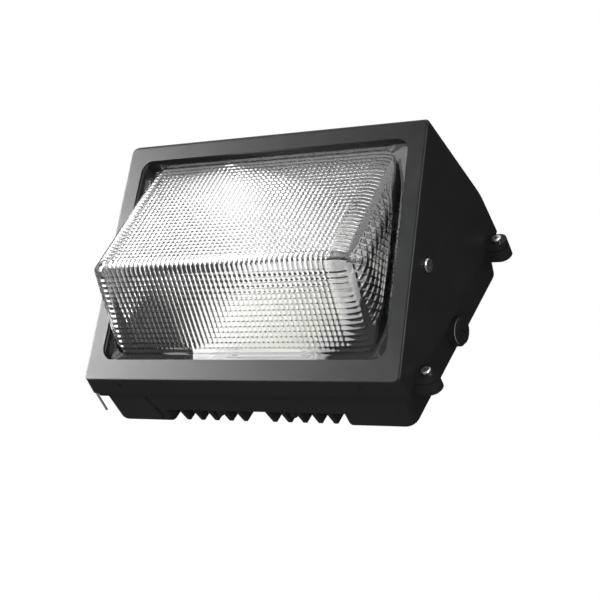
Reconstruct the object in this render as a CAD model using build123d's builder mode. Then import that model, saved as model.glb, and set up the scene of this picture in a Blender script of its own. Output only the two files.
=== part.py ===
"""Wall pack light: a die-cast back box with fins, and a hinged wedge-shaped door with a prismatic glass lens.

Millimetres. X runs to the right as the light is seen, Y runs back to the wall and Z runs up.
The origin is the centre of the rear wire entry, in the plane of the wall.
"""
from build123d import *
from math import hypot, radians, tan
import os

os.makedirs("parts", exist_ok=True)

# ---------------------------------------------------------------- driving dimensions
# The door, seen from the side
door_width = 361.0          # across the rear rim
door_height = 235.0         # along the rear rim
depth = 194.0               # wall to the top front edge
rim_y = -42.5               # rear rim of the door
lip_depth = 20.0            # bottom wall, rim to front face
brow_drop = 26.6            # top front edge, below the top wall
brow_run = 106.5            # sloping part of the top wall
side_draft = 0.06           # each side leans in by this much per mm towards the front
door_wall = 3.2
door_corner_r = 6.0         # between side walls and top or bottom wall
brow_bevel = 4.5            # flat along the top front edge
brow_r = 60.0               # where the sloping and the level part of the top wall meet
face_edge_r = 2.2           # round the front face
rim_width = 12.0            # rim that carries the gasket
rim_depth = 9.0
rim_edge_r = 2.0            # round the rim's outer edge, at the parting line

# Window in the sloping front face
window_top_margin = 19.5
window_bottom_margin = 20.3
window_top_side = 17.9      # frame beside the window, at its top corners
window_bottom_side = 16.6
window_corner_r = 13.0
weep_hole_r = 1.5
weep_hole_x = 136.5
weep_hole_setback = 7.0     # behind the front face

# Glass lens. s runs down the front face from its top edge, h stands out of the face
lens_wall = 5.5
ridge_h = 59.5
ridge_run = 64.2            # ridge to the foot of the lower face, along s
lens_top_gap = 13.4         # window's top edge to where the upper face meets the front plane
lens_bottom_gap = 9.9       # the same at the bottom
lens_side_gap = 4.9         # window's sides to the end faces, in the front plane
lens_draft = 0.028          # loss in half width per mm out of the face
lens_corner_r = 25.0
ridge_r = 10.0
flange_thick = 5.0
flange_overlap = 7.0        # how far the glass flange reaches past the window
lens_seal_thick = 1.5
lens_seal_width = 6.0
flute_pitch = 5.3           # convex flutes outside, from top to bottom
flute_depth = 0.6
flute_skin = 0.05           # flute crowns, below the plain face
flute_end = 1.0             # flutes stop this far out of the front plane
upper_rib_pitch = 4.4       # ribs inside, from side to side
lower_rib_pitch = 5.4
rib_share = 0.86            # of the pitch, taken by a rib
rib_depth = 0.6

# Gasket between the door and the back box
seal_inset = 4.0
seal_width = 5.5
seal_groove = 4.0
seal_proud = 0.7
parting_gap = 1.0

# Back box
box_rim_inset = 2.5         # box rim, inside the door's outline
box_rim_thick = 4.0
box_rim_width = 11.0
box_rim_back_r = 1.2        # round the rim's edge, towards the wall
box_side_inset = 8.0        # body behind the rim, inside the door's outline
box_side_taper = 2.0        # further in, at the wall
box_top_inset = 6.0
box_top_taper = 8.0
box_bottom_inset = 4.0
box_bottom_taper = 1.0
box_corner_r = 12.0
box_rear_r = 8.0
box_wall = 3.0
foot_floor = 3.5
foot_width = 68.5
foot_edge_r = 3.0
recess_depth = 19.0         # wall plane to the finned wall
corner_pad_width = 40.0     # thicker corner under the left foot
corner_pad_proud = 2.0
corner_pad_sweep = 8.0      # how much wider it gets towards the wall
corner_pad_edge_r = 0.9

# Fins
fin_pitch = 17.0
fin_thick = 4.4
fin_side_gap = 8.0          # least room between the last fin and a foot
fin_gap_to_wall = 1.5
fin_slope = 4.0             # rise of each fin's end from root to tip
fin_margin = 0.8            # fin root, inside the box's edge

# Right side: ears with captive screws
ear_reach = 8.0             # screw centres, outside the door's side
ear_r = 9.5
upper_ear_drop = 23.5       # screw centre, below the door's top
lower_ear_rise = 28.5       # screw centre, above the door's bottom
door_ear_thick = 6.0
box_ear_thick = 12.0
screw_r = 2.5
screw_swing_clearance = 0.3
counterbore_r = 4.6
counterbore_depth = 6.0
pan_head_r = 5.0
pan_head_h = 3.4
retainer_thick = 0.8
retainer_clearance = 0.4    # round the washer, in the counterbore
thread_clearance = 0.05     # between a screw and its tapped hole

# Left side: two hinges, each with an L-shaped pin
hinge_reach = 1.5           # pin centres, outside the door's side
hinge_setback = 3.9         # pin centres, behind the door's rim
knuckle_r = 3.4
knuckle_len = 9.6
knuckle_gap = 0.3
lower_hinge_rise = 10.5     # lowest knuckle, above the door's bottom
upper_hinge_drop = 43.5     # lowest knuckle of the upper hinge, below the door's top
pin_r = 1.2
pin_clearance = 0.05
pin_tail = 24.0
pin_bend_r = 3.0
pin_end = 1.0               # pin, past the top knuckle
pin_drop = 0.4              # start of the bend, below the bottom knuckle

# Side screws that hold the lens clamps
side_screw_sunk = 24.0      # behind the front plane
side_screw_shift = 10.5     # below the middle of the window, along s
side_head_r = 6.6
side_head_h = 3.2
side_spot_r = 7.4
side_spot_depth = 0.4       # below the wall at the spot face's shallow edge
side_boss_r = 8.0
clamp_wall_gap = 1.4        # side leg to the door's wall, at the clamp's upper end
clamp_thick = 2.0
clamp_length = 130.0
clamp_reach = 13.0
clamp_tail = 10.0           # side leg, past the screw
nut_across = 8.0
nut_thick = 4.0

# Conduit entries and their plugs
entry_y = -20.0
entry_z = -3.0
entry_r = 10.4              # 1/2 inch pipe thread
hub_r = 14.0
hub_reach = 7.5             # hub's face, outside the box at the wall
hub_inner_reach = 4.0
plug_head_r = 12.2
plug_head_h = 2.2
plug_length = 13.0
plug_bore_r = 7.0
plug_floor = 3.0
plug_slot_len = 11.0
plug_slot_width = 1.8
plug_slot_depth = 1.2
plug_slot_turn = 34.0
plug_washer = 0.8

# Wall screws through the feet
wall_hole_r = 3.0
wall_hole_inset = 18.5      # from the box's side at the wall
wall_hole_drop = 27.5       # from the door's top and bottom
pad_boss_pitches = 2.5      # from the middle, in fin pitches
pad_boss_r = 4.2
pad_boss_h = 9.5
pad_boss_drop = 5.5         # boss centre, inside the box's edge

# Light engine
post_r = 5.0
post_inset_x = 11.0         # post centres, inside the spreader's edges
post_inset_z = 10.0
spreader_width = 132.0
spreader_height = 188.0
spreader_thick = 3.0
spreader_y = -36.0          # back face
thermal_pad_thick = 0.4
board_width = 92.0
board_height = 112.0
board_thick = 1.6
chip_size = 3.5
chip_thick = 0.7
chip_rows = 7
chip_columns = 6
chip_pitch = 13.0
small_screw_r = 1.5
small_head_r = 2.9
small_head_h = 2.0
reflector_thick = 1.0
reflector_window_gap = 2.0
reflector_flare = 16.0
reflector_reach = 44.0
reflector_clear = 30.0      # kept behind the front plane

# Driver and wiring
driver_inset = 24.0         # its middle, from the foot's inner edge
driver_width = 34.0
driver_top_gap = 19.5       # driver case, below the box's top at the wall
driver_height = 70.0
driver_depth = 26.0
driver_tab = 8.0
driver_tab_thick = 1.5
driver_edge_r = 2.5
terminal_z = -52.0
terminal_width = 26.0
terminal_height = 30.0
terminal_depth = 16.0
terminal_poles = 3
terminal_pitch = 7.5
terminal_screw_r = 2.0
terminal_screw_sunk = 1.5
wire_r = 1.1
wire_pitch = 7.0
supply_straight = 12.0      # first stretch of the supply leads
supply_slope = 22.0         # second stretch, rising towards the driver
supply_step = 5.0           # forwards, over that stretch
lead_drop = 4.0             # second output lead, below the first
lead_hole_r = 1.8
lead_start = (8.0, -26.0)   # output leads leave the driver's top: x from its middle, and y
lead_rise = 11.0            # their first stretch
lead_climb = 15.0           # their first bend, above the driver
lead_corner = (-99.0, -28.0)     # x and y of that bend
lead_bends = ((-76.0, -29.0, 4.0), (-46.0, -29.5, -22.0))   # their other bends, z from the upper posts
lead_end = (-30.0, -29.0, -44.0)
ground_inset = 26.0         # from the foot's inner edge
ground_z = -60.0
ground_boss_r = 5.5
ground_boss_h = 4.0
ground_head_r = 4.2
ground_head_h = 2.8
ground_shank = 6.0
fixing_depth = 5.0          # how deep the engine's screws go into their posts
floor_screw_depth = 2.5     # driver screws, into the foot's floor

# ---------------------------------------------------------------- places worked out from them
half_w = door_width / 2
half_h = door_height / 2
face_bottom = (rim_y - lip_depth, -half_h)
face_top = (-depth, half_h - brow_drop)
kink = (-depth + brow_run, half_h)
face_length = hypot(face_bottom[0] - face_top[0], face_bottom[1] - face_top[1])
face_down = ((face_bottom[0] - face_top[0]) / face_length, (face_bottom[1] - face_top[1]) / face_length)
face_out = (face_down[1], -face_down[0])
# The front plane's local y runs up the face; face_side has s and h as its local axes
front = Plane(origin=(0, *face_top), x_dir=(1, 0, 0), z_dir=(0, *face_out))
face_side = Plane(origin=(0, *face_top), x_dir=(0, *face_down), z_dir=(-1, 0, 0))

box_rim_y = rim_y + parting_gap
box_body_y = box_rim_y + box_rim_thick
fin_wall_inner = -recess_depth - box_wall
ear_front = rim_y - door_ear_thick
ear_back = box_rim_y + box_ear_thick
spreader_front = spreader_y - spreader_thick
board_back = spreader_front - thermal_pad_thick
board_front = board_back - board_thick
window_bottom_s = face_length - window_bottom_margin
window_mid_s = (window_top_margin + window_bottom_s) / 2
flange_front = -door_wall - lens_seal_thick
flange_back = flange_front - flange_thick


def facing(y):
    """The plane at y whose normal looks out of the wall, with X right and Z up."""
    return Plane.XZ.offset(-y)


def on_section(s, h):
    """Y and Z of the point s down the front face and h out of it."""
    y = face_top[0] + s * face_down[0] + h * face_out[0]
    z = face_top[1] + s * face_down[1] + h * face_out[1]
    return (y, z)


def door_half(y, inset=0.0):
    """Half width of the door at y, between its drafted sides."""
    return half_w - side_draft * (rim_y - y) - inset


window_top_half = door_half(on_section(window_top_margin, 0)[0]) - window_top_side
window_bottom_half = door_half(on_section(window_bottom_s, 0)[0]) - window_bottom_side
lens_top_s = window_top_margin + lens_top_gap
lens_bottom_s = window_bottom_s - lens_bottom_gap
ridge_s = lens_bottom_s - ridge_run
lens_spread = (window_bottom_half - window_top_half) / (window_bottom_s - window_top_margin)
lens_half_at_top = window_top_half - lens_side_gap - lens_spread * window_top_margin
lens_flat_half = lens_half_at_top + lens_spread * lens_top_s - lens_corner_r

screw_s = window_mid_s + side_screw_shift
side_screw_y, side_screw_z = on_section(screw_s, -side_screw_sunk)
side_seat_x = door_half(side_screw_y - side_spot_r) - side_spot_depth
clamp_x = door_half(on_section(screw_s - clamp_length / 2, flange_back)[0], door_wall) - clamp_wall_gap

box_half_front = half_w - box_side_inset
box_half_rear = box_half_front - box_side_taper
box_top_front = half_h - box_top_inset
box_top_rear = box_top_front - box_top_taper
box_bottom_front = box_bottom_inset - half_h
box_bottom_rear = box_bottom_front + box_bottom_taper
foot_inner = box_half_rear - foot_width
fins_per_side = int((foot_inner - fin_side_gap) / fin_pitch)
pad_boss_x = pad_boss_pitches * fin_pitch

ear_x = half_w + ear_reach
ear_zs = (half_h - upper_ear_drop, lower_ear_rise - half_h)
hinge_x = -half_w - hinge_reach
hinge_y = rim_y + hinge_setback
hinge_bottoms = (lower_hinge_rise - half_h, half_h - upper_hinge_drop)
knuckle_root_y = rim_y - 1.5 * rim_edge_r
hub_face_x = box_half_rear + hub_reach
wall_hole_x = box_half_rear - wall_hole_inset
wall_hole_z = half_h - wall_hole_drop

post_x = spreader_width / 2 - post_inset_x
post_z = spreader_height / 2 - post_inset_z
post_places = [(x, z) for x in (-post_x, post_x) for z in (-post_z, post_z)]
driver_x = -foot_inner - driver_inset
ground_x = foot_inner + ground_inset
driver_top = box_top_rear - driver_top_gap
driver_low = driver_top - driver_height
driver_mid_z = driver_low + driver_height / 2
driver_screw_places = [
    (driver_x, driver_mid_z + end * (driver_height + driver_tab) / 2) for end in (-1, 1)
]


def door_form(inset, rear_y):
    """The door's wedge, with every wall moved in by inset, from rear_y forwards."""
    rear = rear_y + inset
    ahead = -depth - 10
    with BuildPart() as form:
        with BuildSketch(Plane.YZ):
            with BuildLine():
                Polyline((rear, -half_h), face_bottom, face_top, kink, (rear, half_h), close=True)
            wedge = make_face()
            if inset > 0:
                wedge = offset(amount=-inset, kind=Kind.INTERSECTION)
            fillet(wedge.vertices().sort_by_distance(kink)[0], radius=brow_r - inset)
        extrude(amount=door_width, both=True)
        with BuildSketch(Plane.XY):
            with BuildLine():
                Polyline(
                    (door_half(rear, inset), rear), (door_half(ahead, inset), ahead),
                    (-door_half(ahead, inset), ahead), (-door_half(rear, inset), rear), close=True,
                )
            make_face()
        extrude(amount=door_height, both=True, mode=Mode.INTERSECT)
    return form.part


def window_outline(grow):
    """The window's rounded trapezoid, grown by grow, in the local axes of the front plane."""
    top = -window_top_margin + grow
    bottom = -window_bottom_s - grow
    with BuildSketch() as outline:
        with BuildLine():
            Polyline(
                (-window_top_half - grow, top), (window_top_half + grow, top),
                (window_bottom_half + grow, bottom), (-window_bottom_half - grow, bottom), close=True,
            )
        make_face()
        fillet(outline.vertices(), radius=window_corner_r + grow * 0.5)
    return outline.sketch


def in_front_plane(edge):
    """Whether an edge lies in the plane of the front face."""
    return abs(front.to_local_coords(edge.center()).Z) < 0.01


def seal_ring(y, thick):
    """The ring along the door's rim that the gasket fills, from y forwards."""
    width = door_width - 2 * seal_inset
    height = door_height - 2 * seal_inset
    with BuildPart() as ring:
        with BuildSketch(facing(y)):
            RectangleRounded(width, height, door_corner_r)
            Rectangle(width - 2 * seal_width, height - 2 * seal_width, mode=Mode.SUBTRACT)
        extrude(amount=thick)
    return ring.part


def screw(plane, shank_r, shank_len, head_r, head_h):
    """A pan-head screw: the plane is its seat, and its normal leaves through the head."""
    dome = head_h * 0.45
    socket_r = head_r * 0.42
    with BuildPart() as body:
        with BuildSketch(plane):
            Circle(shank_r)
        extrude(amount=-shank_len)
        with BuildSketch(plane):
            Circle(head_r)
        extrude(amount=head_h)
        rim = body.faces().sort_by(Axis(plane.origin, plane.z_dir))[-1].edges()
        if head_r > small_head_r:
            fillet(rim, radius=dome)
        else:
            chamfer(rim, length=dome)
        with BuildSketch(plane.offset(head_h)):
            Rectangle(2 * socket_r, socket_r * 0.5)
            Rectangle(socket_r * 0.5, 2 * socket_r)
        extrude(amount=-head_h * 0.5, mode=Mode.SUBTRACT)
    return body.part


def rib_row(top, run, pitch):
    """Circles in the current sketch for ribs along the line that leaves top in the direction of run."""
    length = hypot(*run)
    along = (run[0] / length, run[1] / length)
    outward = (-along[1], along[0]) if along[0] > 0 else (along[1], -along[0])
    width = rib_share * pitch
    radius = (width ** 2 / 4 + rib_depth ** 2) / (2 * rib_depth)
    first = ridge_r
    count = int((length - 2 * first) / pitch)
    for i in range(count):
        distance = first + i * pitch
        s = top[0] + along[0] * distance + outward[0] * (radius - rib_depth)
        h = top[1] + along[1] * distance + outward[1] * (radius - rib_depth)
        with Locations((s, h)):
            Circle(radius)


def flute_field():
    """What the flutes take away from the outside of the lens's two sloping faces."""
    valley = -flute_skin - flute_depth
    count = int(2 * lens_flat_half / flute_pitch)
    edge = count * flute_pitch / 2
    top_end = (lens_top_s + flute_end * (ridge_s - lens_top_s) / ridge_h, flute_end)
    bottom_end = (lens_bottom_s - flute_end * ridge_run / ridge_h, flute_end)
    with BuildPart() as field:
        with BuildLine(face_side) as route:
            FilletPolyline(top_end, (ridge_s, ridge_h), bottom_end, radius=ridge_r)
        start = route.wires()[0]
        with BuildSketch(Plane(origin=start @ 0, x_dir=(1, 0, 0), z_dir=start % 0)):
            with BuildLine():
                for i in range(count):
                    left = -edge + i * flute_pitch
                    ThreePointArc(
                        (left, valley), (left + flute_pitch / 2, -flute_skin), (left + flute_pitch, valley)
                    )
                Polyline(
                    (edge, valley), (edge + flute_pitch / 2, flute_pitch / 2),
                    (-edge - flute_pitch / 2, flute_pitch / 2), (-edge, valley),
                )
            make_face()
        sweep()
    return field.part


def bowl(inset, floor_h):
    """The lens's two sloping faces with rounded corners down to the end faces, moved in by inset."""
    upper_run = (ridge_s - lens_top_s, ridge_h)
    lower_run = (lens_bottom_s - ridge_s, -ridge_h)
    reach = 1.6 * face_length

    def half_at(s, h):
        return lens_half_at_top + lens_spread * s - lens_draft * h - inset

    def face_block(run):
        length = hypot(*run)
        along = (run[0] / length, run[1] / length)
        outward = (-along[1], along[0])
        with BuildPart() as block:
            for distance in (-reach, reach):
                s = ridge_s + along[0] * distance - outward[0] * inset
                h = ridge_h + along[1] * distance - outward[1] * inset
                # Local axes of this section: x across the lens, y into the glass
                middle = front.from_local_coords(Vector(0, -s, h))
                normal = front.from_local_coords(Vector(0, -s - along[0], h + along[1])) - middle
                section = Plane(origin=middle, x_dir=(1, 0, 0), z_dir=normal)
                deep = 2.2 * ridge_h
                sunk = front.from_local_coords(Vector(0, -s + outward[0] * deep, h - outward[1] * deep))
                turn = 1 if section.to_local_coords(sunk).Y > 0 else -1
                near = half_at(s, h)
                far = half_at(s - outward[0] * deep, h - outward[1] * deep)
                with BuildSketch(section):
                    with BuildLine():
                        Polyline((-near, 0), (near, 0), (far, turn * deep), (-far, turn * deep), close=True)
                    outline = make_face()
                    corners = outline.vertices().sort_by(lambda v: abs(v.Y))
                    fillet(corners[:2], radius=lens_corner_r - inset)
            loft(ruled=True)
        return block.part

    with BuildPart() as solid:
        add(face_block(upper_run))
        add(face_block(lower_run), mode=Mode.INTERSECT)
        with BuildSketch(face_side):
            with BuildLine():
                Polyline(
                    (ridge_s - 2 * upper_run[0], ridge_h - 2 * upper_run[1]), (ridge_s, ridge_h),
                    (ridge_s + 2 * lower_run[0], ridge_h + 2 * lower_run[1]), close=True,
                )
            roof = make_face()
            if inset > 0:
                roof = offset(amount=-inset, kind=Kind.INTERSECTION)
            peak = roof.vertices().sort_by(Axis.Y)[-1]
            top = (peak.X, peak.Y)
            fillet(peak, radius=ridge_r - inset)
        extrude(amount=door_width, both=True, mode=Mode.INTERSECT)
        if inset > 0:
            with BuildSketch(face_side):
                rib_row(top, (-upper_run[0], -upper_run[1]), upper_rib_pitch)
                rib_row(top, lower_run, lower_rib_pitch)
            extrude(amount=lens_flat_half, both=True, mode=Mode.SUBTRACT)
        with BuildSketch(front.offset(floor_h)):
            with Locations((0, -window_mid_s)):
                Rectangle(2 * door_width, 2 * face_length)
        extrude(amount=3 * ridge_h, mode=Mode.INTERSECT)
    return solid.part


# ---------------------------------------------------------------- door frame
with BuildPart() as door_frame:
    add(door_form(0, rim_y))
    brow_edge = door_frame.edges().filter_by(Axis.X).sort_by(Axis.Y)[0]
    chamfer(brow_edge, length=brow_bevel)
    sides = door_frame.faces().filter_by(lambda f: abs(f.normal_at().X) > 0.9)
    running = ShapeList(
        e for f in sides for e in f.edges()
        if e.center().Y < rim_y - 0.01 and not in_front_plane(e)
    )
    fillet(running, radius=door_corner_r)
    flats = door_frame.faces().filter_by(GeomType.PLANE)
    front_face = flats.filter_by(lambda f: f.normal_at().dot(front.z_dir) > 0.999)
    fillet(front_face.edges(), radius=face_edge_r)
    fillet(door_frame.faces().sort_by(Axis.Y)[-1].edges(), radius=rim_edge_r)
    add(door_form(door_wall, rim_y - rim_depth), mode=Mode.SUBTRACT)
    # opening inside the rim, and the gasket's groove
    with BuildSketch(facing(rim_y)):
        RectangleRounded(door_width - 2 * rim_width, door_height - 2 * rim_width, door_corner_r)
    extrude(amount=rim_depth + door_wall, mode=Mode.SUBTRACT)
    add(seal_ring(rim_y, seal_groove), mode=Mode.SUBTRACT)
    # window
    with BuildSketch(front):
        add(window_outline(0))
    extrude(amount=-2 * door_wall, mode=Mode.SUBTRACT)
    # weep holes in the bottom wall
    with BuildSketch(Plane.XY.offset(-half_h)):
        with Locations(*[(x, face_bottom[0] + weep_hole_setback) for x in (-weep_hole_x, weep_hole_x)]):
            Circle(weep_hole_r)
    extrude(amount=2 * door_wall, mode=Mode.SUBTRACT)
    # ears on the right
    for z in ear_zs:
        with BuildSketch(facing(rim_y)):
            with Locations((ear_x, z)):
                Circle(ear_r)
            with Locations(((ear_x + half_w - door_wall) / 2, z)):
                Rectangle(ear_x - half_w + door_wall, 2 * ear_r)
        extrude(amount=door_ear_thick)
        with BuildSketch(facing(rim_y)):
            with Locations((ear_x, z)):
                Circle(screw_r + screw_swing_clearance)
        extrude(amount=door_ear_thick, mode=Mode.SUBTRACT)
    # middle knuckle of each hinge on the left
    for low in hinge_bottoms:
        with BuildSketch(Plane.XY.offset(low + knuckle_len + knuckle_gap)):
            with Locations((hinge_x, hinge_y)):
                Circle(knuckle_r)
            with Locations((hinge_x + knuckle_r / 2, (hinge_y + knuckle_root_y) / 2)):
                Rectangle(knuckle_r, hinge_y - knuckle_root_y)
            with Locations((hinge_x, hinge_y)):
                Circle(pin_r + pin_clearance, mode=Mode.SUBTRACT)
        extrude(amount=knuckle_len)
    # pads and holes for the side screws
    for side in (-1, 1):
        wall_inner = door_half(side_screw_y, door_wall)
        with BuildSketch(Plane.YZ.offset(side * clamp_x)):
            with Locations((side_screw_y, side_screw_z)):
                Circle(side_boss_r)
        extrude(amount=side * (wall_inner - clamp_x + side_draft * side_boss_r))
        with BuildSketch(Plane.YZ.offset(side * clamp_x)):
            with Locations((side_screw_y, side_screw_z)):
                Circle(screw_r + thread_clearance)
        extrude(amount=side * (half_w - clamp_x), mode=Mode.SUBTRACT)
        with BuildSketch(Plane.YZ.offset(side * side_seat_x)):
            with Locations((side_screw_y, side_screw_z)):
                Circle(side_spot_r)
        extrude(amount=side * door_wall, mode=Mode.SUBTRACT)
door_frame.part.label = "door_frame"
export_step(door_frame.part, "parts/door_frame.step")

# ---------------------------------------------------------------- glass lens and its seal
with BuildPart() as glass_lens:
    add(bowl(0, flange_front - flange_thick / 2))
    add(flute_field(), mode=Mode.SUBTRACT)
    with BuildSketch(front.offset(flange_front)):
        add(window_outline(flange_overlap))
    extrude(amount=-flange_thick)
    add(bowl(lens_wall, flange_back - 1), mode=Mode.SUBTRACT)
glass_lens.part.label = "glass_lens"
export_step(glass_lens.part, "parts/glass_lens.step")

with BuildPart() as lens_gasket:
    with BuildSketch(front.offset(-door_wall)):
        add(window_outline(flange_overlap))
    extrude(amount=-lens_seal_thick)
    with BuildSketch(front.offset(-door_wall)):
        add(window_outline(flange_overlap - lens_seal_width))
    extrude(amount=-lens_seal_thick, mode=Mode.SUBTRACT)
lens_gasket.part.label = "lens_gasket"
export_step(lens_gasket.part, "parts/lens_gasket.step")

# ---------------------------------------------------------------- clamps, side screws and nuts
for side, name in ((-1, "left"), (1, "right")):
    with BuildPart() as lens_clamp:
        with BuildSketch(Plane(origin=front.from_local_coords(Vector(0, -screw_s - clamp_length / 2, 0)),
                               x_dir=(1, 0, 0), z_dir=front.y_dir)) as section:
            down = -1 if section.workplanes[0].y_dir.dot(front.z_dir) > 0 else 1
            leg_low = -side_screw_sunk - clamp_tail
            with BuildLine():
                Polyline(
                    (side * (clamp_x - clamp_reach), down * -flange_back),
                    (side * clamp_x, down * -flange_back),
                    (side * clamp_x, down * -leg_low),
                    (side * (clamp_x - clamp_thick), down * -leg_low),
                    (side * (clamp_x - clamp_thick), down * -(flange_back - clamp_thick)),
                    (side * (clamp_x - clamp_reach), down * -(flange_back - clamp_thick)),
                    close=True,
                )
            make_face()
        extrude(amount=clamp_length)
        with BuildSketch(Plane.YZ.offset(side * clamp_x)):
            with Locations((side_screw_y, side_screw_z)):
                Circle(screw_r + thread_clearance)
        extrude(amount=-side * clamp_thick, mode=Mode.SUBTRACT)
    lens_clamp.part.label = f"lens_clamp_{name}"
    export_step(lens_clamp.part, f"parts/lens_clamp_{name}.step")

    seat = Plane(origin=(side * side_seat_x, side_screw_y, side_screw_z), x_dir=(0, 1, 0), z_dir=(side, 0, 0))
    shank = side_seat_x - clamp_x + clamp_thick + nut_thick
    side_screw = screw(seat, screw_r, shank, side_head_r, side_head_h)
    side_screw.label = f"side_screw_{name}"
    export_step(side_screw, f"parts/side_screw_{name}.step")

with BuildPart() as clamp_nuts:
    for side in (-1, 1):
        with BuildSketch(Plane.YZ.offset(side * (clamp_x - clamp_thick))):
            with Locations((side_screw_y, side_screw_z)):
                RegularPolygon(nut_across / 2, 6, major_radius=False)
                Circle(screw_r + thread_clearance, mode=Mode.SUBTRACT)
        extrude(amount=-side * nut_thick)
clamp_nuts.part.label = "clamp_nuts"
export_step(clamp_nuts.part, "parts/clamp_nuts.step")

# ---------------------------------------------------------------- door gasket
door_gasket = seal_ring(rim_y + seal_proud, seal_groove + seal_proud)
door_gasket.label = "door_gasket"
export_step(door_gasket, "parts/door_gasket.step")


# ---------------------------------------------------------------- back box
def box_edge(y, at_front, at_rear):
    """Where a tapered wall of the box stands at y."""
    return at_front + (at_rear - at_front) * (y - box_body_y) / (0 - box_body_y)


def box_loft(inset, front_y, rear_y):
    """The tapered body of the back box between two depths, with its walls moved in by inset."""
    with BuildPart() as body:
        for y in (front_y, rear_y):
            top = box_edge(y, box_top_front, box_top_rear) - inset
            bottom = box_edge(y, box_bottom_front, box_bottom_rear) + inset
            half = box_edge(y, box_half_front, box_half_rear) - inset
            with BuildSketch(facing(y)):
                with Locations((0, (top + bottom) / 2)):
                    RectangleRounded(2 * half, top - bottom, box_corner_r - inset)
        loft(ruled=True)
    return body.part


with BuildPart() as box_cavity:
    add(box_loft(box_wall, box_body_y, -foot_floor))
    with BuildSketch(facing(0)):
        Rectangle(2 * (foot_inner + box_wall), 2 * door_height)
    extrude(amount=-fin_wall_inner, mode=Mode.SUBTRACT)

rim_half = half_w - box_rim_inset
rim_top = half_h - box_rim_inset
with BuildPart() as box_rim:
    with BuildSketch(facing(box_body_y)):
        RectangleRounded(2 * rim_half, 2 * rim_top, door_corner_r)
    extrude(amount=box_rim_thick)
    fillet(box_rim.faces().sort_by(Axis.Y)[-1].edges(), radius=box_rim_back_r)

pad_left = -box_half_rear + box_corner_r
pad_right = pad_left + corner_pad_width
pad_low = box_bottom_rear - corner_pad_proud
with BuildPart() as corner_pad:
    with BuildSketch(Plane.XY.offset(pad_low)):
        with BuildLine():
            Spline(
                (pad_right, box_body_y), (pad_right + corner_pad_sweep, -box_rear_r),
                tangents=((0, 1), (0, 1)),
            )
            Polyline(
                (pad_right + corner_pad_sweep, -box_rear_r), (pad_left, -box_rear_r),
                (pad_left, box_body_y), (pad_right, box_body_y),
            )
        make_face()
    extrude(amount=corner_pad_proud + box_wall / 2)
    curved = corner_pad.edges().filter_by(lambda e: e.geom_type != GeomType.LINE)
    fillet(curved.sort_by(Axis.Z)[0], radius=corner_pad_edge_r)

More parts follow.
